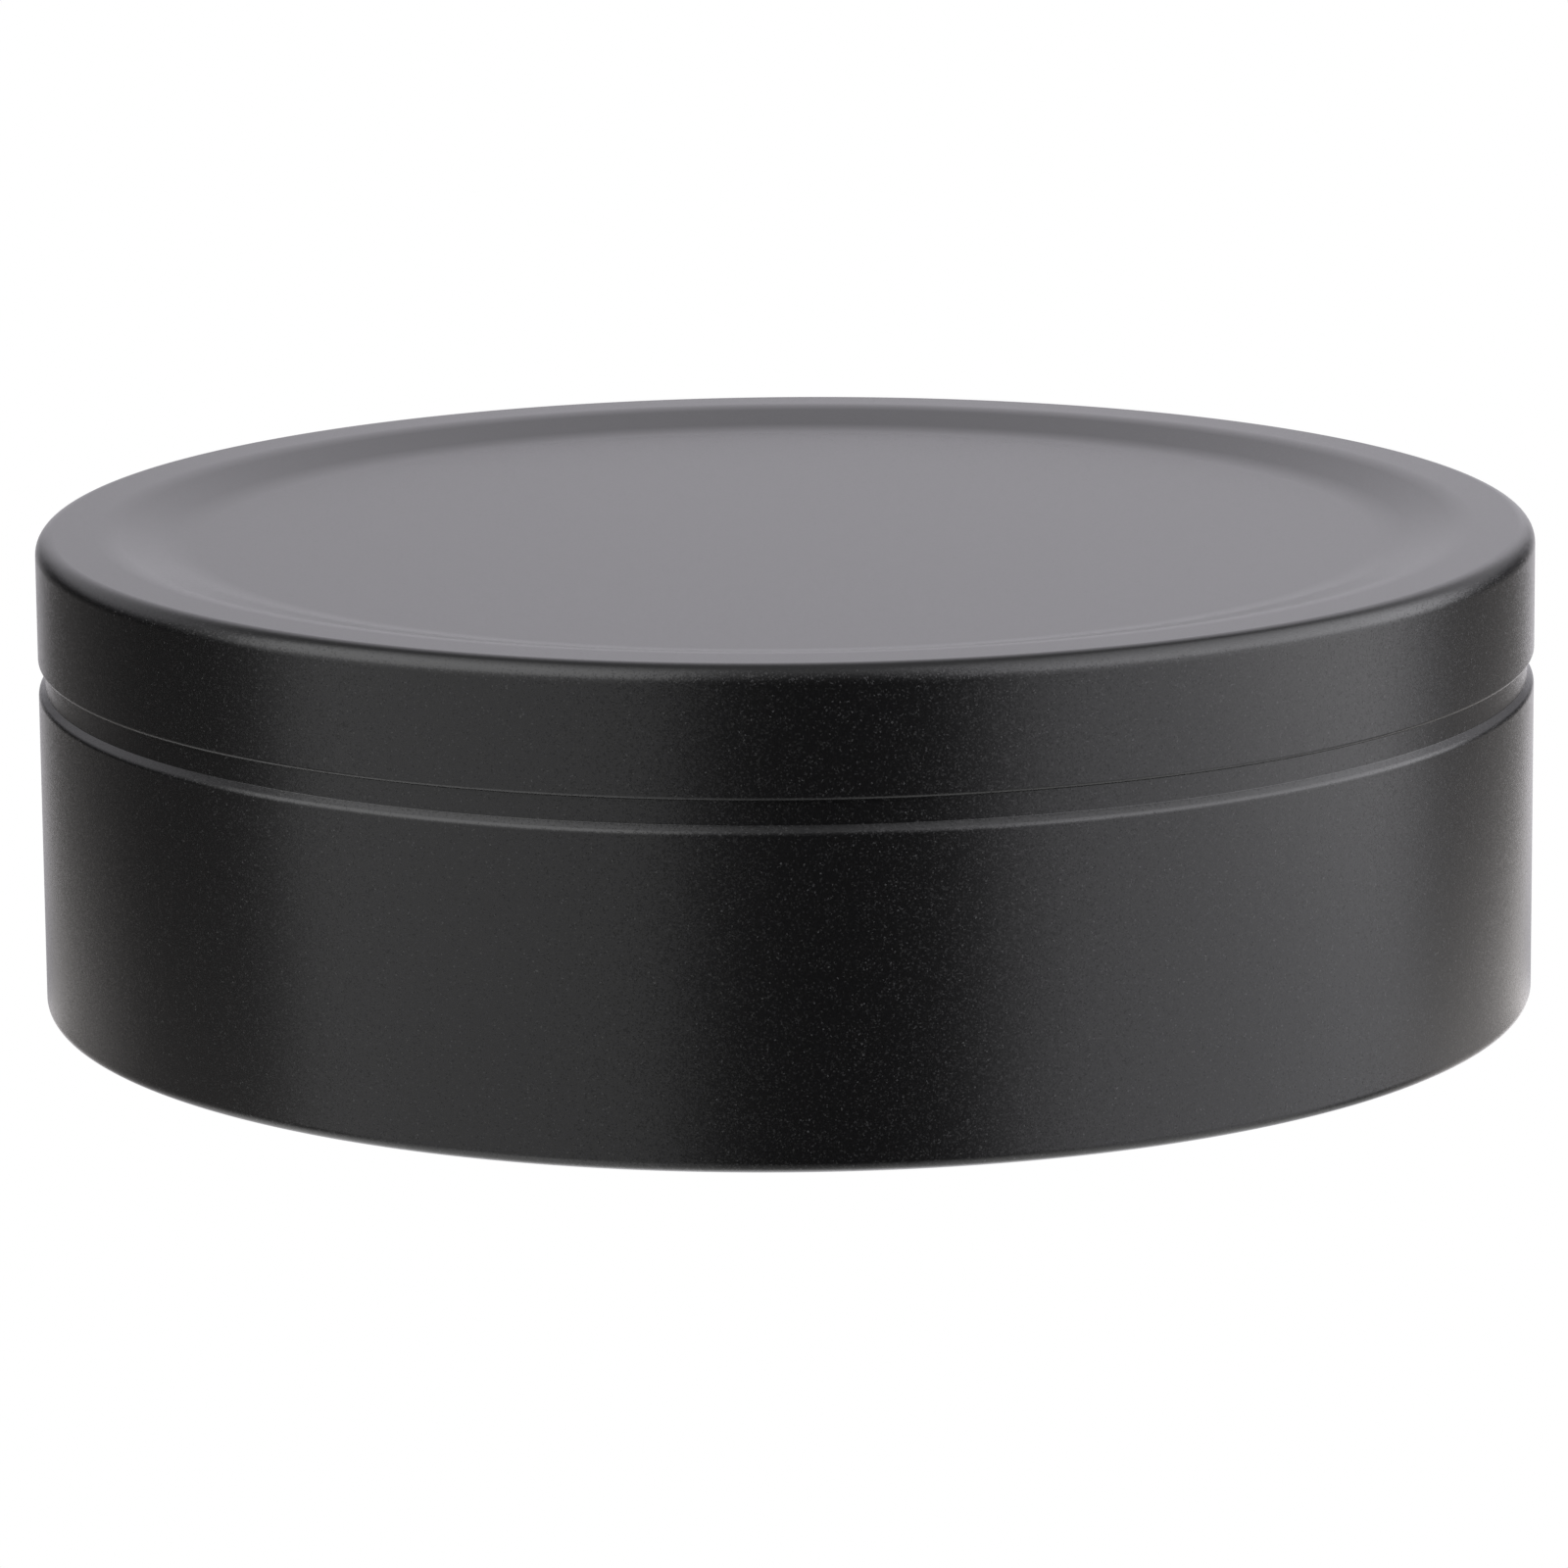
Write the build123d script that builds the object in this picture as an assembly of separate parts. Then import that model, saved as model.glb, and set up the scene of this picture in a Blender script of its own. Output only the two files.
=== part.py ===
from build123d import *
import math
import os

# Round two-piece aluminium tin with a slip-on lid.
# Units are millimetres. The origin is at the middle of the base and +Z is up.
# Both pieces are drawn from flat sheet: each is a bent sheet section turned about Z.
# In a section, X is the radius and Y is the height.

# Overall size. Bend radii named BEND are at the middle of the sheet
OUTER_RADIUS = 50.0
TOTAL_HEIGHT = 32.1
SHEET = 0.40

# Lid: a recessed panel inside a flat ring, and a straight skirt
LID_CORNER_RADIUS = 1.25
LID_EDGE_HEIGHT = 23.64
LID_EDGE_ROUND = 0.30
LID_INNER_EDGE_ROUND = 0.06
LID_RING_INNER_RADIUS = 46.10
LID_RECESS_DEPTH = 1.00
LID_RECESS_ANGLE = 12.0
LID_PANEL_BEND = 12.0
LID_RING_BEND = 8.0

# Base: a raised panel inside a flat foot ring
BASE_CORNER_RADIUS = 0.80
FOOT_INNER_RADIUS = 45.20
BASE_RECESS_DEPTH = 0.90
BASE_RECESS_ANGLE = 22.0
BASE_PANEL_BEND = 1.20
BASE_RING_BEND = 1.20

# Wall, shoulder and neck
SHOULDER_START_HEIGHT = 21.40
SHOULDER_ANGLE = 45.0
SHOULDER_OUTER_RADIUS = 0.50
SHOULDER_INNER_RADIUS = 0.05
RUNNING_GAP = 0.05

# Rim at the mouth, curled inwards. The lid rests on it
CURL_RADIUS = 0.90
CURL_TURN = 290.0

# Sizes that follow from the ones above
HALF_SHEET = SHEET / 2
NECK_RADIUS = OUTER_RADIUS - SHEET - RUNNING_GAP
LID_RING_HEIGHT = TOTAL_HEIGHT - HALF_SHEET
RIM_TOP_HEIGHT = TOTAL_HEIGHT - SHEET

EAST = (1, 0)
NORTH = (0, 1)


def panel_line(panel_height, ring_height, ring_inner_radius, angle, panel_bend, ring_bend):
    """Middle line of a flat panel, two bends and the slope between them.

    It starts on the axis at panel_height and ends at ring_inner_radius and ring_height.
    """
    rise = ring_height - panel_height
    side = math.copysign(1, rise)
    turn = math.radians(angle)
    both_bends = panel_bend + ring_bend
    run = (abs(rise) - both_bends * (1 - math.cos(turn))) / math.sin(turn)
    width = both_bends * math.sin(turn) + run * math.cos(turn)
    panel = Line((0, panel_height), (ring_inner_radius - width, panel_height))
    first_bend = JernArc(panel @ 1, EAST, panel_bend, side * angle)
    slope = Line(first_bend @ 1, first_bend @ 1 + run * (first_bend % 1))
    second_bend = JernArc(slope @ 1, slope % 1, ring_bend, -side * angle)
    return panel + first_bend + slope + second_bend


def shoulder_line(start):
    """Middle line of the step from the wall in to the neck: a bend, a slope and a bend back.

    The step's width fixes the slope's length.
    """
    turn = math.radians(SHOULDER_ANGLE)
    lower_bend = SHOULDER_OUTER_RADIUS - HALF_SHEET
    upper_bend = SHOULDER_INNER_RADIUS + HALF_SHEET
    step = OUTER_RADIUS - NECK_RADIUS
    run = (step - (lower_bend + upper_bend) * (1 - math.cos(turn))) / math.sin(turn)
    lower = JernArc(start, NORTH, lower_bend, SHOULDER_ANGLE)
    slope = Line(lower @ 1, lower @ 1 + run * (lower % 1))
    upper = JernArc(slope @ 1, slope % 1, upper_bend, -SHOULDER_ANGLE)
    return lower + slope + upper


def sheet_section(middle_line):
    """Flat section of the sheet, half its thickness on each side of the middle line."""
    return trace(middle_line, SHEET)


def turned(section):
    """Solid made by turning a section about Z."""
    return revolve(Plane.XZ * section, Axis.Z)


def make_tin_body():
    """Deep-drawn body: base with a foot ring, wall, shoulder, neck and curled rim."""
    panel_height = BASE_RECESS_DEPTH + HALF_SHEET
    base = panel_line(
        panel_height, HALF_SHEET, FOOT_INNER_RADIUS, BASE_RECESS_ANGLE, BASE_PANEL_BEND, BASE_RING_BEND
    )
    corner_radius = BASE_CORNER_RADIUS - HALF_SHEET
    foot = Line(base @ 1, (OUTER_RADIUS - BASE_CORNER_RADIUS, HALF_SHEET))
    corner = JernArc(foot @ 1, EAST, corner_radius, 90)
    wall = Line(corner @ 1, (OUTER_RADIUS - HALF_SHEET, SHOULDER_START_HEIGHT))
    shoulder = shoulder_line(wall @ 1)
    curl_start_height = RIM_TOP_HEIGHT - CURL_RADIUS
    neck = Line(shoulder @ 1, (NECK_RADIUS - HALF_SHEET, curl_start_height))
    curl = JernArc(neck @ 1, NORTH, CURL_RADIUS - HALF_SHEET, CURL_TURN)
    return turned(sheet_section(base + foot + corner + wall + shoulder + neck + curl))


def make_lid():
    """Slip-on lid: recessed panel, flat ring, rounded corner and straight skirt."""
    panel_height = LID_RING_HEIGHT - LID_RECESS_DEPTH
    panel = panel_line(
        panel_height,
        LID_RING_HEIGHT,
        LID_RING_INNER_RADIUS,
        LID_RECESS_ANGLE,
        LID_PANEL_BEND,
        LID_RING_BEND,
    )
    ring = Line(panel @ 1, (OUTER_RADIUS - LID_CORNER_RADIUS, LID_RING_HEIGHT))
    corner = JernArc(ring @ 1, EAST, LID_CORNER_RADIUS - HALF_SHEET, -90)
    skirt = Line(corner @ 1, (OUTER_RADIUS - HALF_SHEET, LID_EDGE_HEIGHT))
    section = sheet_section(panel + ring + corner + skirt)
    edge_corners = section.vertices().group_by(Axis.Y)[0].sort_by(Axis.X)
    section = fillet(edge_corners[-1], LID_EDGE_ROUND)
    edge_corners = section.vertices().group_by(Axis.Y)[0].sort_by(Axis.X)
    section = fillet(edge_corners[0], LID_INNER_EDGE_ROUND)
    return turned(section)


def main():
    """Write one STEP file for each piece."""
    os.makedirs("parts", exist_ok=True)
    export_step(make_tin_body(), "parts/tin_body.step")
    export_step(make_lid(), "parts/lid.step")


main()
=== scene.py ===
"""Looks of the round slip-lid tin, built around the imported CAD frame. All lengths are in metres."""

import math

import bpy
from mathutils import Matrix, Vector


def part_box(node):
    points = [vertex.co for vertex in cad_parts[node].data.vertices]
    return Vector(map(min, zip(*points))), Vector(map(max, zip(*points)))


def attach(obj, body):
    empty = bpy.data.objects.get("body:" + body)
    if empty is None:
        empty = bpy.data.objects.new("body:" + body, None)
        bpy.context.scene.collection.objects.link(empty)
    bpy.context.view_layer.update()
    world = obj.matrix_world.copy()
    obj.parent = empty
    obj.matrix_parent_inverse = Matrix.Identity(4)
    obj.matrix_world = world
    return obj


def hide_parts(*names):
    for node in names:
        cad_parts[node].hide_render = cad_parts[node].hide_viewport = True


MM = 0.001
QUARTER_TURN = math.radians(90)

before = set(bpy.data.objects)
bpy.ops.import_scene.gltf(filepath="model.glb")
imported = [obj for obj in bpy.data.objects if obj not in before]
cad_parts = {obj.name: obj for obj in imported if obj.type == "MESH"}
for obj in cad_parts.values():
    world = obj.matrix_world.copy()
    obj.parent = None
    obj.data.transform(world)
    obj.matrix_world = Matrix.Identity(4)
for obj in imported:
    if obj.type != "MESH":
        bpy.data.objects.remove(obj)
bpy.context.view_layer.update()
lid_low, lid_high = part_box("lid")
_, body_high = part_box("tin_body")

# Sizes read from the frame
OUTER_RADIUS = lid_high.x
TOTAL_HEIGHT = lid_high.z
LID_EDGE_HEIGHT = lid_low.z
SHEET = lid_high.z - body_high.z
HALF_SHEET = SHEET / 2

# Sizes of the bends
LID_CORNER_RADIUS = 1.25 * MM
LID_EDGE_ROUND = 0.30 * MM
LID_INNER_EDGE_ROUND = 0.06 * MM
LID_RING_INNER_RADIUS = 46.10 * MM
LID_RECESS_DEPTH = 1.00 * MM
LID_RECESS_ANGLE = 12.0
LID_PANEL_BEND = 12.0 * MM
LID_RING_BEND = 8.0 * MM
BASE_CORNER_RADIUS = 0.80 * MM
FOOT_INNER_RADIUS = 45.20 * MM
BASE_RECESS_DEPTH = 0.90 * MM
BASE_RECESS_ANGLE = 22.0
BASE_PANEL_BEND = 1.20 * MM
BASE_RING_BEND = 1.20 * MM
SHOULDER_START_HEIGHT = 21.40 * MM
SHOULDER_ANGLE = 45.0
SHOULDER_OUTER_RADIUS = 0.50 * MM
SHOULDER_INNER_RADIUS = 0.05 * MM
RUNNING_GAP = 0.05 * MM
CURL_RADIUS = 0.90 * MM
CURL_TURN = 290.0
CUT_EDGE_ROUND = 0.08 * MM

# The sheet's faces stop this many edge rounds before its cut edge
CUT_MARGIN = 1.01

# Mesh resolution. A point nearer to the axis than ON_AXIS is a single vertex
SEGMENTS_AROUND = 480
DEGREES_PER_STEP = 6.0
LONGEST_BEND_STEP = 0.3 * MM
LONGEST_STEP = 2.5 * MM
ON_AXIS = 1e-9

# Coating. The glints are a thin gloss on top of the grains, and both are evener on flat faces
BLACK = (0.0035, 0.0034, 0.0036)
COATING_ROUGHNESS = 0.28
COATING_IOR = 1.43
GRAIN_SCALE = 11000.0
GRAIN_TILT = 0.02
GLINT_WEIGHT = 0.30
GLINT_ROUGHNESS = 0.15
GLINT_TILT = 0.8
GLINT_RARITY = 1.5
FLAT_FACE_TILT = 0.3
WALL_TO_FLAT_FACE = (0.3, 0.95)

# Bare metal. Rolling lines run along X on flat faces, and streaks run up the walls
DULL_ALUMINIUM = (0.74, 0.74, 0.75)
BRIGHT_ALUMINIUM = (0.84, 0.84, 0.85)
ALUMINIUM_ROUGHNESS = 0.30
STREAKS = 170.0
STREAK_SLOWNESS = 60.0
ROLLING_SCALES = (45.0, 2600.0, 45.0)
LINE_ROUGHNESS = 0.20
LINE_HEIGHT = 0.0015 * MM
CLOUD_SCALE = 60.0
CLOUD_ROUGHNESS = 0.12
NOISE_DETAIL = 3.0
NOISE_MIDDLE = 0.5
STREAKS_TO_ROLLING_LINES = (0.5, 0.9)
LINE_SHARE = 0.6
SHADE_RANGE = (0.3, 0.7)

# Floor: white for the camera. Beside the tin it also glows in the tin's sides, most strongly next
# to the tin. These angles are degrees round from the front to the part of the wall that shows it
FLOOR_REACH = 4.0
FLOOR_HEIGHT = -0.01 * MM
GLOW_INNER_EDGE = (0.95, 0.98)
GLOW_SPREAD = 1.5
GLOW_TINT = (1.03, 0.985, 0.965, 1)
GLOW_RISE = (66, 84)
GLOW_RISE_GAIN = 1.64
GLOW_END = (78, 90)
GLOW_RIGHT = 0.73
GLOW_RIGHT_START = (45, 62)
GLOW_LEFT_STEP = 0.20
GLOW_LEFT_STARTS = ((25, 45), (54, 68))

# A second glow on the right is further out, and its angles are those of the floor itself
GLOW_FAR_RIGHT = 0.40
GLOW_FAR_DISTANCES = (95 * MM, 185 * MM)
GLOW_FAR_START = (52, 70)
GLOW_FAR_END = (84, 97)

# Studio light. The angles are degrees, round from the front of the tin and up from the floor.
# A softbox is a flat panel with sizes for a distance of one. Its own light starts at its lower edge
# and fades upwards, and the white table under it shows a dimmer copy of it
LEFT_SOFTBOX = {
    "azimuth": -54,
    "elevation": 15,
    "roll": 15,
    "half_width": 0.70,
    "half_height": 2.6,
    "side_softness": 0.24,
    "top_softness": 1.5,
    "strength": 1.22,
    "slant": 0.72,
    "table_range": (0.55, 0.75),
    "lamp": 1.35,
    "lower_edge": (-0.12, 0.18),
    "upper_fade": (0.45, 1.9),
    "tint": (1.0, 1.0, 1.01),
}
RIGHT_SOFTBOX = {
    "azimuth": 76,
    "elevation": 17,
    "roll": -14,
    "half_width": 0.89,
    "half_height": 1.49,
    "side_softness": 0.76,
    "top_softness": 1.5,
    "strength": 2.06,
    "slant": 0.53,
    "table_range": (0.55, 0.80),
    "lamp": 0.95,
    "lower_edge": (-0.24, 0.05),
    "upper_fade": (-0.05, 1.1),
    "tint": (1.0, 0.995, 1.035),
}
PANEL_EDGE_ON = (0.02, 0.05)

# Backdrop behind the tin, ceiling, a dim light round the back, and the table, which is dimmer
# straight in front of the tin
BACKDROP_AZIMUTH = (150, 169)
BACKDROP_BOTTOM = (-88, -72)
BACKDROP_TOP = (34, 62)
BACKDROP_STRENGTH = 0.785
BACKDROP_BRIGHTER_RIGHT = 0.6
BACKDROP_TINT = (1.0, 0.975, 1.045)
ROOM_GLOW = (0.005, 0.005, 0.005)
TABLE_GLOW = (1.3, 1.3, 1.3)
TABLE_ELEVATION = (-55, -26)
TABLE_AZIMUTH = (5, 50)
TABLE_FRONT = 0.26
CEILING_GLOW = (0.40, 0.40, 0.41)
CEILING_ELEVATION = (22, 78)
REAR_GLOW = (0.56, 0.55, 0.58)
REAR_AZIMUTH = (95, 125)
REAR_BOTTOM = (2, 22)
REAR_TOP = (30, 48)

# Camera: a long lens a little above the rim. The lens and the sensor are in millimetres
CAMERA_ELEVATION = math.radians(12.217)
CAMERA_ROLL = math.radians(-0.5085)
CAMERA_DISTANCE = 11.289 * OUTER_RADIUS
CAMERA_AIM = (-0.00426 * OUTER_RADIUS, 0, 0.2789 * OUTER_RADIUS)
CAMERA_LENS = 192.46
CAMERA_SENSOR = 36.0
CAMERA_CLIP = (0.01, 20.0)


class SheetLine:
    """Middle line of a bent sheet: stations of (radius, height, heading in radians)."""

    def __init__(self, radius, height, heading_degrees):
        self.stations = [(radius, height, math.radians(heading_degrees))]

    def straight(self, length):
        radius, height, heading = self.stations[-1]
        steps = max(1, math.ceil(length / LONGEST_STEP))
        for step in range(1, steps + 1):
            along = length * step / steps
            self.stations.append(
                (radius + along * math.cos(heading), height + along * math.sin(heading), heading)
            )
        return self

    def bend(self, bend_radius, degrees):
        radius, height, heading = self.stations[-1]
        turn = math.radians(degrees)
        side = math.copysign(1, degrees)
        centre_r = radius - side * bend_radius * math.sin(heading)
        centre_z = height + side * bend_radius * math.cos(heading)
        steps_for_angle = math.ceil(abs(degrees) / DEGREES_PER_STEP)
        steps_for_length = math.ceil(bend_radius * abs(turn) / LONGEST_BEND_STEP)
        steps = max(steps_for_angle, steps_for_length)
        for step in range(1, steps + 1):
            angle = heading + turn * step / steps
            self.stations.append(
                (
                    centre_r + side * bend_radius * math.sin(angle),
                    centre_z - side * bend_radius * math.cos(angle),
                    angle,
                )
            )
        return self

    def straight_to_radius(self, radius):
        here, _, heading = self.stations[-1]
        return self.straight((radius - here) / math.cos(heading))

    def straight_to_height(self, height):
        _, here, heading = self.stations[-1]
        return self.straight((height - here) / math.sin(heading))


def stepped_panel(panel_height, ring_height, ring_inner_radius, angle, panel_bend, ring_bend):
    """Flat panel, bend, slope and bend, up or down to a flat ring."""
    rise = ring_height - panel_height
    side = math.copysign(1, rise)
    turn = math.radians(angle)
    both_bends = panel_bend + ring_bend
    run = (abs(rise) - both_bends * (1 - math.cos(turn))) / math.sin(turn)
    width = both_bends * math.sin(turn) + run * math.cos(turn)
    line = SheetLine(0.0, panel_height, 0.0)
    line.straight(ring_inner_radius - width)
    line.bend(panel_bend, side * angle).straight(run).bend(ring_bend, -side * angle)
    return line


def body_line():
    """Middle line of the body: base, foot, wall, shoulder, neck and curl."""
    turn = math.radians(SHOULDER_ANGLE)
    lower_bend = SHOULDER_OUTER_RADIUS - HALF_SHEET
    upper_bend = SHOULDER_INNER_RADIUS + HALF_SHEET
    step = SHEET + RUNNING_GAP
    slope = (step - (lower_bend + upper_bend) * (1 - math.cos(turn))) / math.sin(turn)
    panel_height = BASE_RECESS_DEPTH + HALF_SHEET
    line = stepped_panel(
        panel_height, HALF_SHEET, FOOT_INNER_RADIUS, BASE_RECESS_ANGLE, BASE_PANEL_BEND, BASE_RING_BEND
    )
    line.straight_to_radius(OUTER_RADIUS - BASE_CORNER_RADIUS)
    line.bend(BASE_CORNER_RADIUS - HALF_SHEET, 90)
    line.straight_to_height(SHOULDER_START_HEIGHT)
    line.bend(lower_bend, SHOULDER_ANGLE).straight(slope).bend(upper_bend, -SHOULDER_ANGLE)
    line.straight_to_height(body_high.z - CURL_RADIUS)
    line.bend(CURL_RADIUS - HALF_SHEET, CURL_TURN)
    return line


def lid_line():
    """Middle line of the lid: panel, ring, corner and skirt."""
    ring_height = TOTAL_HEIGHT - HALF_SHEET
    panel_height = ring_height - LID_RECESS_DEPTH
    line = stepped_panel(
        panel_height,
        ring_height,
        LID_RING_INNER_RADIUS,
        LID_RECESS_ANGLE,
        LID_PANEL_BEND,
        LID_RING_BEND,
    )
    line.straight_to_radius(OUTER_RADIUS - LID_CORNER_RADIUS)
    line.bend(LID_CORNER_RADIUS - HALF_SHEET, -90)
    line.straight_to_height(LID_EDGE_HEIGHT)
    return line


def cut_edge(station, left_round, right_round):
    """Rounded end of the sheet, from its left face to its right face, as (r, z, normal angle)."""
    radius, height, heading = station
    points = []
    for side, corner in ((1, left_round), (-1, right_round)):
        centre_r = radius - corner * math.cos(heading)
        centre_z = height - corner * math.sin(heading)
        across = HALF_SHEET - corner
        centre_r += side * across * -math.sin(heading)
        centre_z += side * across * math.cos(heading)
        steps = math.ceil(90 / DEGREES_PER_STEP)
        for step in range(steps + 1):
            part = step / steps if side > 0 else 1 - step / steps
            angle = heading + side * QUARTER_TURN * (1 - part)
            points.append(
                (centre_r + corner * math.cos(angle), centre_z + corner * math.sin(angle), angle)
            )
    return points


def sheet_outline(line, left_round, right_round):
    """Outline of the sheet's section, from the axis out to its cut edge and back.

    Each point is (r, z, normal angle, on the left face).
    """
    left, right = [], []
    last_r, last_z, last_heading = line.stations[-1]
    for radius, height, heading in line.stations:
        to_end_r, to_end_z = last_r - radius, last_z - height
        before_end = to_end_r * math.cos(last_heading) + to_end_z * math.sin(last_heading)
        near_end = math.hypot(to_end_r, to_end_z) < SHEET
        for face, side, corner in ((left, 1, left_round), (right, -1, right_round)):
            if near_end and before_end < corner * CUT_MARGIN:
                continue
            normal = heading + side * QUARTER_TURN
            face.append(
                (
                    radius + HALF_SHEET * math.cos(normal),
                    height + HALF_SHEET * math.sin(normal),
                    normal,
                )
            )
    edge = cut_edge(line.stations[-1], left_round, right_round)
    outline = [(*point, True) for point in left]
    outline += [(*point, index < len(edge) // 2) for index, point in enumerate(edge)]
    outline += [(*point, False) for point in reversed(right)]
    return outline


def turned_mesh(name, outline, materials, outside_is_left):
    """Mesh made by turning an outline about Z, with the outline's own normals."""
    count = SEGMENTS_AROUND
    rows, vertices = [], []
    for radius, height, _, _ in outline:
        if radius < ON_AXIS:
            rows.append([len(vertices)] * count)
            vertices.append((0.0, 0.0, height))
            continue
        rows.append(list(range(len(vertices), len(vertices) + count)))
        for step in range(count):
            angle = 2 * math.pi * step / count
            vertices.append((radius * math.cos(angle), radius * math.sin(angle), height))
    faces, corner_normals, face_slots = [], [], []
    for index in range(len(outline) - 1):
        low, high = rows[index], rows[index + 1]
        normals = (outline[index][2], outline[index + 1][2])
        on_left = outline[index][3] and outline[index + 1][3]
        slot = 0 if on_left == outside_is_left else 1
        for step in range(count):
            after = (step + 1) % count
            corners = [(low, step, 0), (high, step, 1), (high, after, 1), (low, after, 0)]
            if low[0] == low[1]:
                corners = corners[:3]
            elif high[0] == high[1]:
                corners = [corners[0], corners[1], corners[3]]
            faces.append([row[column] for row, column, _ in corners])
            face_slots.append(slot)
            for _, column, end in corners:
                angle = 2 * math.pi * column / count
                out = math.cos(normals[end])
                corner_normals.append(
                    (out * math.cos(angle), out * math.sin(angle), math.sin(normals[end]))
                )
    mesh = bpy.data.meshes.new(name)
    mesh.from_pydata(vertices, [], faces)
    for material in materials:
        mesh.materials.append(material)
    mesh.polygons.foreach_set("material_index", face_slots)
    mesh.polygons.foreach_set("use_smooth", [True] * len(faces))
    mesh.normals_split_custom_set(corner_normals)
    mesh.update()
    piece = bpy.data.objects.new(name, mesh)
    bpy.context.scene.collection.objects.link(piece)
    return piece


class Nodes:
    """Short ways to add nodes to one tree."""

    def __init__(self, tree):
        self.tree = tree

    def add(self, kind, settings=None, **inputs):
        node = self.tree.nodes.new(kind)
        for key, value in (settings or {}).items():
            setattr(node, key, value)
        for key, value in inputs.items():
            self.feed(node.inputs[key], value)
        return node

    def feed(self, socket, value):
        if isinstance(value, bpy.types.NodeSocket):
            self.tree.links.new(value, socket)
        else:
            socket.default_value = value

    def math(self, operation, first, second=0.0, third=0.0):
        node = self.tree.nodes.new("ShaderNodeMath")
        node.operation = operation
        for socket, value in zip(node.inputs, (first, second, third)):
            self.feed(socket, value)
        return node.outputs[0]

    def vector(self, operation, first, second):
        node = self.tree.nodes.new("ShaderNodeVectorMath")
        node.operation = operation
        self.feed(node.inputs[0], first)
        if operation == "SCALE":
            self.feed(node.inputs["Scale"], second)
        else:
            self.feed(node.inputs[1], second)
        return node.outputs["Value" if operation == "DOT_PRODUCT" else "Vector"]

    def ramp(self, value, low, high, at_low=0.0, at_high=1.0):
        """Smooth step of value, from at_low at low to at_high at high."""
        node = self.add("ShaderNodeMapRange", {"interpolation_type": "SMOOTHSTEP"}, Value=value)
        for name, number in (
            ("From Min", low),
            ("From Max", high),
            ("To Min", at_low),
            ("To Max", at_high),
        ):
            node.inputs[name].default_value = number
        return node.outputs[0]

    def noise(self, place, scale):
        """Soft noise, from 0 to 1, with NOISE_DETAIL finer layers."""
        node = self.add("ShaderNodeTexNoise", Vector=place, Scale=scale, Detail=NOISE_DETAIL)
        return node.outputs[0]

    def product(self, *values):
        result = values[0]
        for value in values[1:]:
            result = self.math("MULTIPLY", result, value)
        return result

    def total(self, *values):
        result = values[0]
        for value in values[1:]:
            result = self.math("ADD", result, value)
        return result


def new_material(name):
    """Material with its tree's helper and its main shader."""
    material = bpy.data.materials.new(name)
    material.use_nodes = True
    shader = material.node_tree.nodes["Principled BSDF"]
    return material, Nodes(material.node_tree), shader


def tilted_normal(nodes, random_colour, tilt):
    """Surface normal leant over by a random colour, times tilt."""
    lean = nodes.vector("SUBTRACT", random_colour, [NOISE_MIDDLE] * 3)
    smooth = nodes.add("ShaderNodeNewGeometry").outputs["Normal"]
    normal = nodes.add("ShaderNodeVectorMath", {"operation": "NORMALIZE"})
    nodes.feed(normal.inputs[0], nodes.vector("ADD", smooth, nodes.vector("SCALE", lean, tilt)))
    return normal.outputs["Vector"]


def make_black_coating():
    """Matte black coating of tiny grains. Each is tilted its own way, with steeper glints on top."""
    material, nodes, shader = new_material("black_coating")
    place = nodes.add("ShaderNodeTexCoord").outputs["Object"]
    normal = nodes.add("ShaderNodeNewGeometry").outputs["Normal"]
    facing = nodes.add("ShaderNodeSeparateXYZ", Vector=normal).outputs[2]
    evenness = nodes.ramp(nodes.math("ABSOLUTE", facing), *WALL_TO_FLAT_FACE, 1.0, FLAT_FACE_TILT)
    grains = nodes.add("ShaderNodeTexVoronoi", Vector=place, Scale=GRAIN_SCALE).outputs["Color"]
    glints = nodes.add("ShaderNodeTexWhiteNoise", Vector=grains).outputs["Color"]
    chance = nodes.add("ShaderNodeSeparateColor", Color=grains).outputs[0]
    glint_tilt = nodes.product(nodes.math("POWER", chance, GLINT_RARITY), GLINT_TILT, evenness)
    shader.inputs["Base Color"].default_value = (*BLACK, 1)
    shader.inputs["Roughness"].default_value = COATING_ROUGHNESS
    shader.inputs["IOR"].default_value = COATING_IOR
    shader.inputs["Coat Weight"].default_value = GLINT_WEIGHT
    shader.inputs["Coat Roughness"].default_value = GLINT_ROUGHNESS
    grain_tilt = nodes.math("MULTIPLY", evenness, GRAIN_TILT)
    nodes.feed(shader.inputs["Normal"], tilted_normal(nodes, grains, grain_tilt))
    nodes.feed(shader.inputs["Coat Normal"], tilted_normal(nodes, glints, glint_tilt))
    return material


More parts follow.
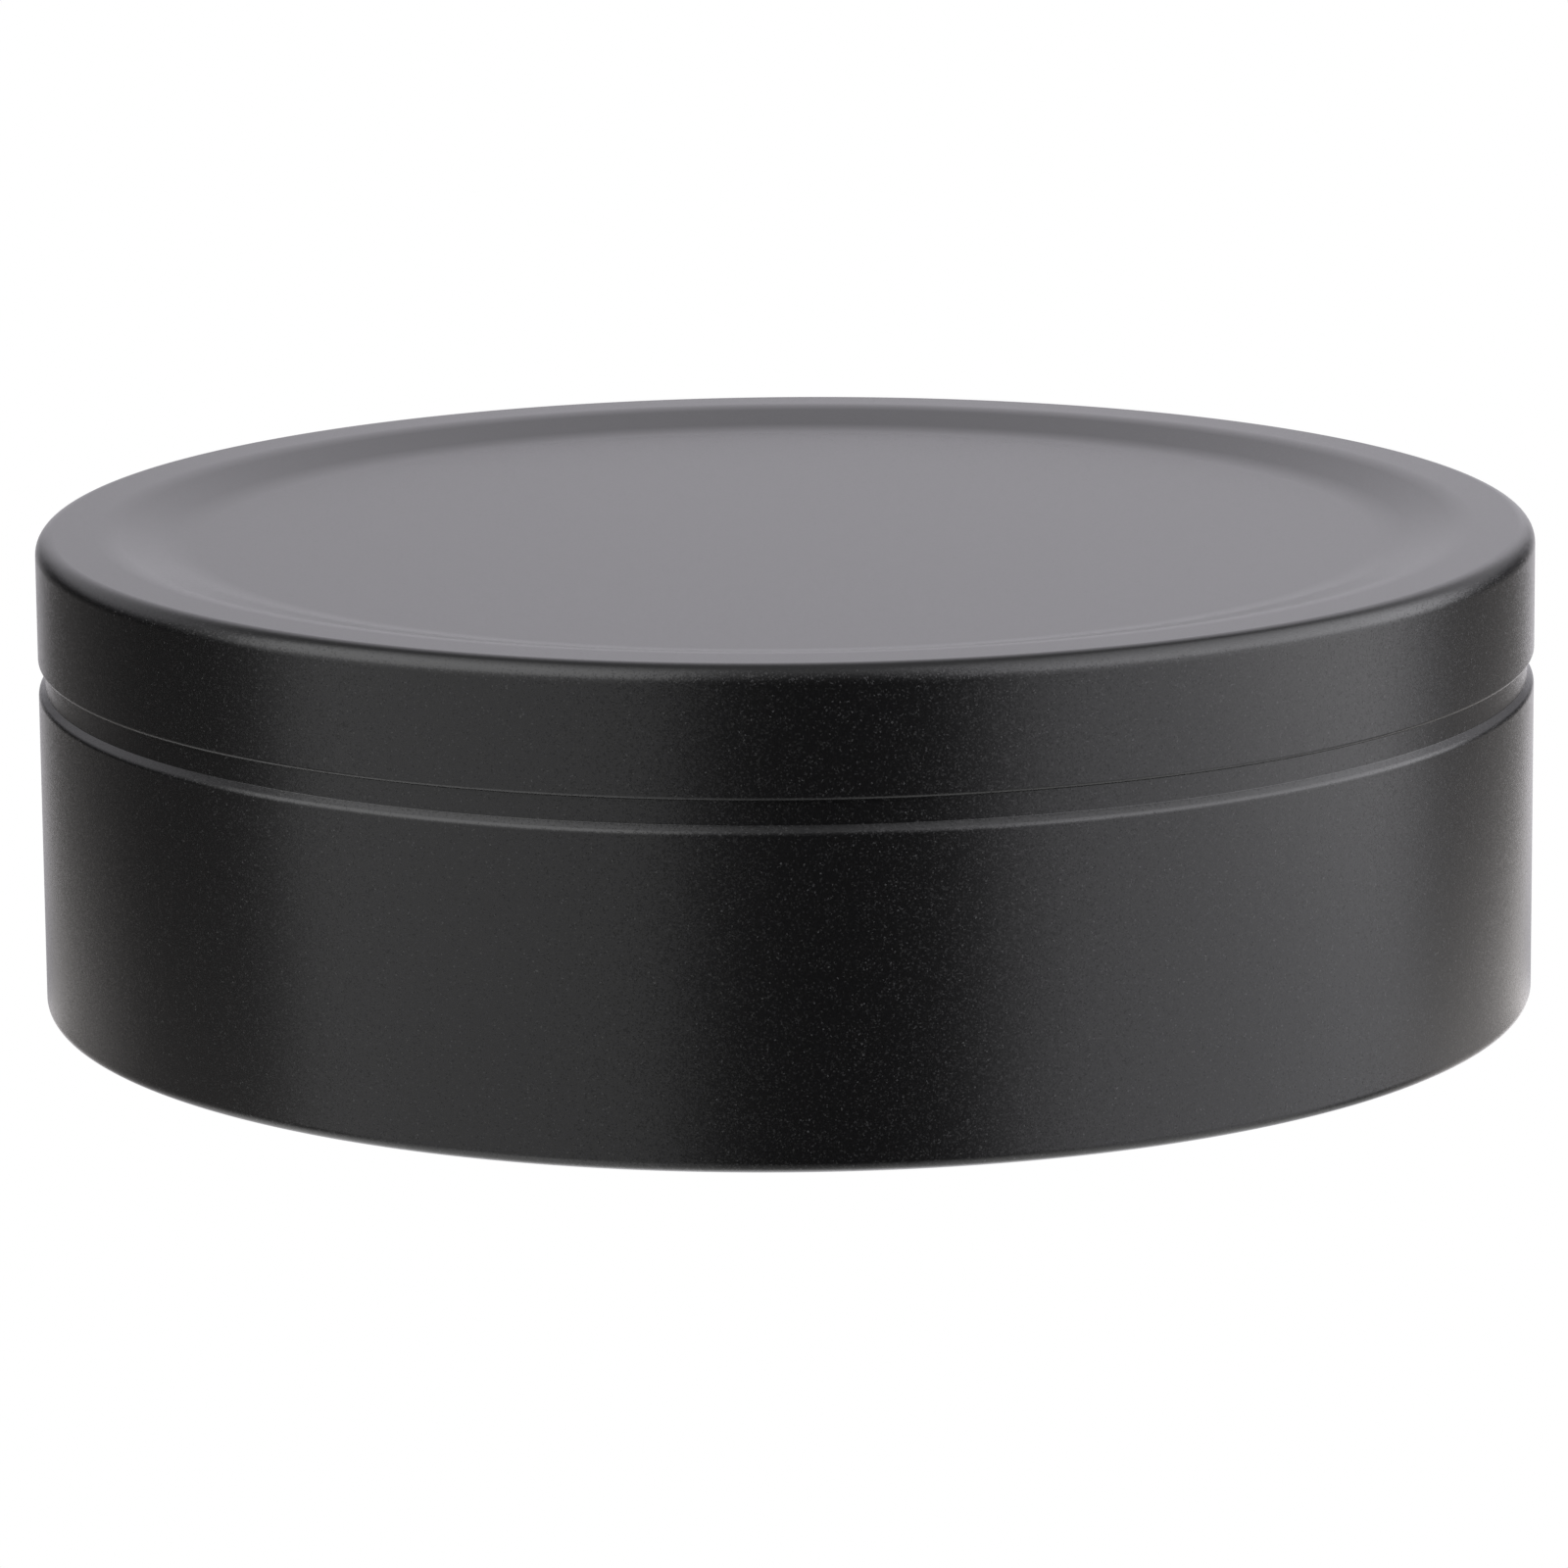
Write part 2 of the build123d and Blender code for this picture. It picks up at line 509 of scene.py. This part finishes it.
def make_bare_aluminium():
    """Bare drawn aluminium: straight rolling lines on flat faces, fine upright streaks on walls."""
    material, nodes, shader = new_material("bare_aluminium")
    place = nodes.add("ShaderNodeTexCoord").outputs["Object"]
    parts = nodes.add("ShaderNodeSeparateXYZ", Vector=place).outputs
    normal = nodes.add("ShaderNodeNewGeometry").outputs["Normal"]
    facing = nodes.add("ShaderNodeSeparateXYZ", Vector=normal).outputs[2]
    flatness = nodes.ramp(nodes.math("ABSOLUTE", facing), *STREAKS_TO_ROLLING_LINES)
    around = nodes.add("ShaderNodeCombineXYZ", X=parts[0], Y=parts[1])
    outwards = nodes.add("ShaderNodeVectorMath", {"operation": "NORMALIZE"})
    nodes.feed(outwards.inputs[0], around.outputs[0])
    drawn_place = nodes.vector("MULTIPLY", outwards.outputs["Vector"], (STREAKS, STREAKS, 0.0))
    drawn_height = nodes.math("MULTIPLY", parts[2], STREAK_SLOWNESS)
    upwards = nodes.add("ShaderNodeCombineXYZ", Z=drawn_height).outputs[0]
    drawn = nodes.noise(nodes.vector("ADD", drawn_place, upwards), 1.0)
    rolled = nodes.noise(nodes.vector("MULTIPLY", place, ROLLING_SCALES), 1.0)
    lines = nodes.add("ShaderNodeMix", {"data_type": "FLOAT"}, Factor=flatness)
    nodes.feed(lines.inputs[2], drawn)
    nodes.feed(lines.inputs[3], rolled)
    clouds = nodes.noise(place, CLOUD_SCALE)
    roughness = nodes.total(
        ALUMINIUM_ROUGHNESS,
        nodes.product(nodes.math("SUBTRACT", lines.outputs[0], NOISE_MIDDLE), LINE_ROUGHNESS),
        nodes.product(nodes.math("SUBTRACT", clouds, NOISE_MIDDLE), CLOUD_ROUGHNESS),
    )
    line_shade = nodes.math("MULTIPLY", lines.outputs[0], LINE_SHARE)
    cloud_shade = nodes.math("MULTIPLY", clouds, 1 - LINE_SHARE)
    shade = nodes.ramp(nodes.math("ADD", line_shade, cloud_shade), *SHADE_RANGE)
    colour = nodes.add("ShaderNodeMix", {"data_type": "RGBA"}, Factor=shade)
    colour.inputs[6].default_value = (*DULL_ALUMINIUM, 1)
    colour.inputs[7].default_value = (*BRIGHT_ALUMINIUM, 1)
    bump = nodes.add("ShaderNodeBump", Height=lines.outputs[0], Strength=1.0, Distance=LINE_HEIGHT)
    shader.inputs["Metallic"].default_value = 1.0
    nodes.feed(shader.inputs["Base Color"], colour.outputs[2])
    nodes.feed(shader.inputs["Roughness"], roughness)
    nodes.feed(shader.inputs["Normal"], bump.outputs[0])
    return material


def fade_in(nodes, value, degrees, at_low=0.0, at_high=1.0):
    """Smooth step of an angle in radians, between two angles given in degrees."""
    return nodes.ramp(value, math.radians(degrees[0]), math.radians(degrees[1]), at_low, at_high)


def fade_out(nodes, value, degrees):
    """The same step, falling from one to zero."""
    return fade_in(nodes, value, degrees, 1.0, 0.0)


def floor_glow(nodes):
    """Brightness of the floor as the tin's wall sees it."""
    place = nodes.add("ShaderNodeTexCoord").outputs["Object"]
    parts = nodes.add("ShaderNodeSeparateXYZ", Vector=place).outputs
    azimuth = nodes.math("ARCTAN2", parts[0], nodes.math("MULTIPLY", parts[1], -1.0))
    distance = nodes.add("ShaderNodeVectorMath", {"operation": "LENGTH"})
    nodes.feed(distance.inputs[0], place)
    radii = nodes.math("DIVIDE", distance.outputs["Value"], OUTER_RADIUS)
    outside = nodes.ramp(radii, *GLOW_INNER_EDGE)
    closeness = nodes.math("DIVIDE", 1.0, nodes.math("MAXIMUM", radii, GLOW_INNER_EDGE[0]))
    # The wall shows floor from further round than itself: up to twice as far, when it is far out
    spread = nodes.math("SUBTRACT", 2.0, nodes.math("POWER", closeness, GLOW_SPREAD))
    on_right = nodes.math("DIVIDE", azimuth, spread)
    on_left = nodes.math("MULTIPLY", on_right, -1.0)
    right = nodes.product(fade_in(nodes, on_right, GLOW_RIGHT_START), GLOW_RIGHT)
    starts = [fade_in(nodes, on_left, start) for start in GLOW_LEFT_STARTS]
    left = nodes.product(nodes.total(*starts), GLOW_LEFT_STEP)
    sideways = nodes.math("ABSOLUTE", on_right)
    rise = fade_in(nodes, sideways, GLOW_RISE, 1.0, GLOW_RISE_GAIN)
    end = fade_out(nodes, sideways, GLOW_END)
    near = nodes.product(outside, closeness, rise, end, nodes.total(right, left))
    far = nodes.product(
        nodes.ramp(distance.outputs["Value"], *GLOW_FAR_DISTANCES),
        fade_in(nodes, azimuth, GLOW_FAR_START),
        fade_out(nodes, azimuth, GLOW_FAR_END),
        GLOW_FAR_RIGHT,
    )
    return nodes.math("ADD", near, far)


def make_floor_material():
    """White from above for the camera, clear with an added glow for the tin, and clear from below."""
    material, nodes, shader = new_material("pale_floor")
    tree = material.node_tree
    tree.nodes.remove(shader)
    above = nodes.math("SUBTRACT", 1.0, nodes.add("ShaderNodeNewGeometry").outputs["Backfacing"])
    strength = nodes.product(above, floor_glow(nodes))
    glow = nodes.add("ShaderNodeEmission", Color=GLOW_TINT, Strength=strength)
    clear = nodes.add("ShaderNodeBsdfTransparent")
    white = nodes.add("ShaderNodeEmission", Color=(1, 1, 1, 1), Strength=1.0)
    lit = nodes.add("ShaderNodeAddShader")
    nodes.feed(lit.inputs[0], clear.outputs[0])
    nodes.feed(lit.inputs[1], glow.outputs[0])
    shown = nodes.add("ShaderNodeMixShader")
    seen = nodes.add("ShaderNodeLightPath").outputs["Is Camera Ray"]
    nodes.feed(shown.inputs[0], nodes.product(seen, above))
    nodes.feed(shown.inputs[1], lit.outputs[0])
    nodes.feed(shown.inputs[2], white.outputs[0])
    nodes.feed(tree.nodes["Material Output"].inputs["Surface"], shown.outputs[0])
    return material


def make_floor():
    """Square floor around the tin, a hair below its foot."""
    mesh = bpy.data.meshes.new("floor")
    corners = [(-1, -1), (1, -1), (1, 1), (-1, 1)]
    vertices = [(FLOOR_REACH * x, FLOOR_REACH * y, FLOOR_HEIGHT) for x, y in corners]
    mesh.from_pydata(vertices, [], [(0, 1, 2, 3)])
    mesh.materials.append(make_floor_material())
    floor = bpy.data.objects.new("floor", mesh)
    bpy.context.scene.collection.objects.link(floor)
    floor.visible_diffuse = False
    floor.visible_shadow = False


def between_sides(nodes, offset, half, softness):
    """One between the two opposite sides of a panel and zero outside them, with soft edges."""
    distance = nodes.math("ABSOLUTE", offset)
    return nodes.ramp(distance, half - softness / 2, half + softness / 2, 1.0, 0.0)


def softbox_light(nodes, way, box):
    """Light that a softbox sends along a direction: its flat outline with soft edges."""
    azimuth, elevation, roll = (math.radians(box[key]) for key in ("azimuth", "elevation", "roll"))
    level = Vector((math.cos(azimuth), math.sin(azimuth), 0))
    ahead = Vector((math.sin(azimuth), -math.cos(azimuth), 0)) * math.cos(elevation)
    ahead.z = math.sin(elevation)
    upright = ahead.cross(level)
    across = level * math.cos(roll) + upright * math.sin(roll)
    upward = upright * math.cos(roll) - level * math.sin(roll)
    depth = nodes.vector("DOT_PRODUCT", way, ahead)
    in_front = nodes.ramp(depth, *PANEL_EDGE_ON)
    safe_depth = nodes.math("MAXIMUM", depth, PANEL_EDGE_ON[0])
    place_across = nodes.math("DIVIDE", nodes.vector("DOT_PRODUCT", way, across), safe_depth)
    place_up = nodes.math("DIVIDE", nodes.vector("DOT_PRODUCT", way, upward), safe_depth)
    least, most = box["table_range"]
    table = nodes.math("MULTIPLY_ADD", place_up, box["slant"], 1.0)
    table = nodes.math("MINIMUM", nodes.math("MAXIMUM", table, least), most)
    lamp = nodes.product(
        nodes.ramp(place_up, *box["lower_edge"]),
        nodes.ramp(place_up, *box["upper_fade"], 1.0, 0.0),
        box["lamp"],
    )
    amount = nodes.product(
        box["strength"],
        in_front,
        between_sides(nodes, place_across, box["half_width"], box["side_softness"]),
        between_sides(nodes, place_up, box["half_height"], box["top_softness"]),
        nodes.math("ADD", table, lamp),
    )
    return nodes.vector("SCALE", box["tint"], amount)


def backdrop_light(nodes, off_front, elevation, rightwards):
    """Light of the white paper behind the tin, a little brighter towards the right."""
    amount = nodes.product(
        fade_in(nodes, off_front, BACKDROP_AZIMUTH),
        fade_in(nodes, elevation, BACKDROP_BOTTOM),
        fade_out(nodes, elevation, BACKDROP_TOP),
        nodes.math("MULTIPLY_ADD", rightwards, BACKDROP_BRIGHTER_RIGHT, 1.0),
        BACKDROP_STRENGTH,
    )
    return nodes.vector("SCALE", BACKDROP_TINT, amount)


def rear_light(nodes, off_front, elevation):
    """Dim light between the softboxes and the backdrop. It shows in the lid's top from the sides."""
    amount = nodes.product(
        fade_in(nodes, off_front, REAR_AZIMUTH),
        fade_out(nodes, off_front, BACKDROP_AZIMUTH),
        fade_in(nodes, elevation, REAR_BOTTOM),
        fade_out(nodes, elevation, REAR_TOP),
    )
    return nodes.vector("SCALE", REAR_GLOW, amount)


def make_world():
    """Softboxes and backdrop as light and reflections, and plain white for the camera."""
    world = bpy.data.worlds.new("studio")
    world.use_nodes = True
    nodes = Nodes(world.node_tree)
    background = world.node_tree.nodes["Background"]
    way = nodes.add("ShaderNodeTexCoord").outputs["Generated"]
    parts = nodes.add("ShaderNodeSeparateXYZ", Vector=way).outputs
    azimuth = nodes.math("ARCTAN2", parts[0], nodes.math("MULTIPLY", parts[1], -1.0))
    elevation = nodes.math("ARCSINE", parts[2])
    off_front = nodes.math("ABSOLUTE", azimuth)
    beside = fade_in(nodes, off_front, TABLE_AZIMUTH, TABLE_FRONT, 1.0)
    table = nodes.product(beside, fade_out(nodes, elevation, TABLE_ELEVATION))
    lights = [
        softbox_light(nodes, way, LEFT_SOFTBOX),
        softbox_light(nodes, way, RIGHT_SOFTBOX),
        nodes.vector("SCALE", TABLE_GLOW, table),
        nodes.vector("SCALE", CEILING_GLOW, fade_in(nodes, elevation, CEILING_ELEVATION)),
        rear_light(nodes, off_front, elevation),
        backdrop_light(nodes, off_front, elevation, parts[0]),
    ]
    colour = ROOM_GLOW
    for light in lights:
        colour = nodes.vector("ADD", light, colour)
    seen = nodes.add("ShaderNodeLightPath").outputs["Is Camera Ray"]
    shown = nodes.add("ShaderNodeMix", {"data_type": "RGBA"}, Factor=seen)
    nodes.feed(shown.inputs[6], colour)
    shown.inputs[7].default_value = (1, 1, 1, 1)
    nodes.feed(background.inputs["Color"], shown.outputs[2])
    background.inputs["Strength"].default_value = 1.0
    return world


def make_camera():
    """Camera in front of the tin, looking at CAMERA_AIM."""
    back = Vector((0, -math.cos(CAMERA_ELEVATION), math.sin(CAMERA_ELEVATION)))
    level_right = Vector((1, 0, 0))
    level_up = back.cross(level_right)
    right = level_right * math.cos(CAMERA_ROLL) + level_up * math.sin(CAMERA_ROLL)
    up = level_up * math.cos(CAMERA_ROLL) - level_right * math.sin(CAMERA_ROLL)
    camera_data = bpy.data.cameras.new("camera")
    camera_data.lens = CAMERA_LENS
    camera_data.sensor_width = CAMERA_SENSOR
    camera_data.clip_start, camera_data.clip_end = CAMERA_CLIP
    camera = bpy.data.objects.new("camera", camera_data)
    bpy.context.scene.collection.objects.link(camera)
    turn = Matrix((right, up, back)).transposed().to_4x4()
    camera.matrix_world = Matrix.Translation(Vector(CAMERA_AIM) + back * CAMERA_DISTANCE) @ turn
    return camera


finishes = [make_black_coating(), make_bare_aluminium()]

body_outline = sheet_outline(body_line(), CUT_EDGE_ROUND, CUT_EDGE_ROUND)
body_shell = turned_mesh("body_shell", body_outline, finishes, False)
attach(body_shell, "tin")
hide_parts("tin_body")

lid_outline = sheet_outline(lid_line(), LID_EDGE_ROUND, LID_INNER_EDGE_ROUND)
lid_shell = turned_mesh("lid_shell", lid_outline, finishes, True)
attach(lid_shell, "lid")
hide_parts("lid")

make_floor()
bpy.context.scene.world = make_world()
bpy.context.scene.view_settings.view_transform = "Standard"
bpy.context.scene.camera = make_camera()
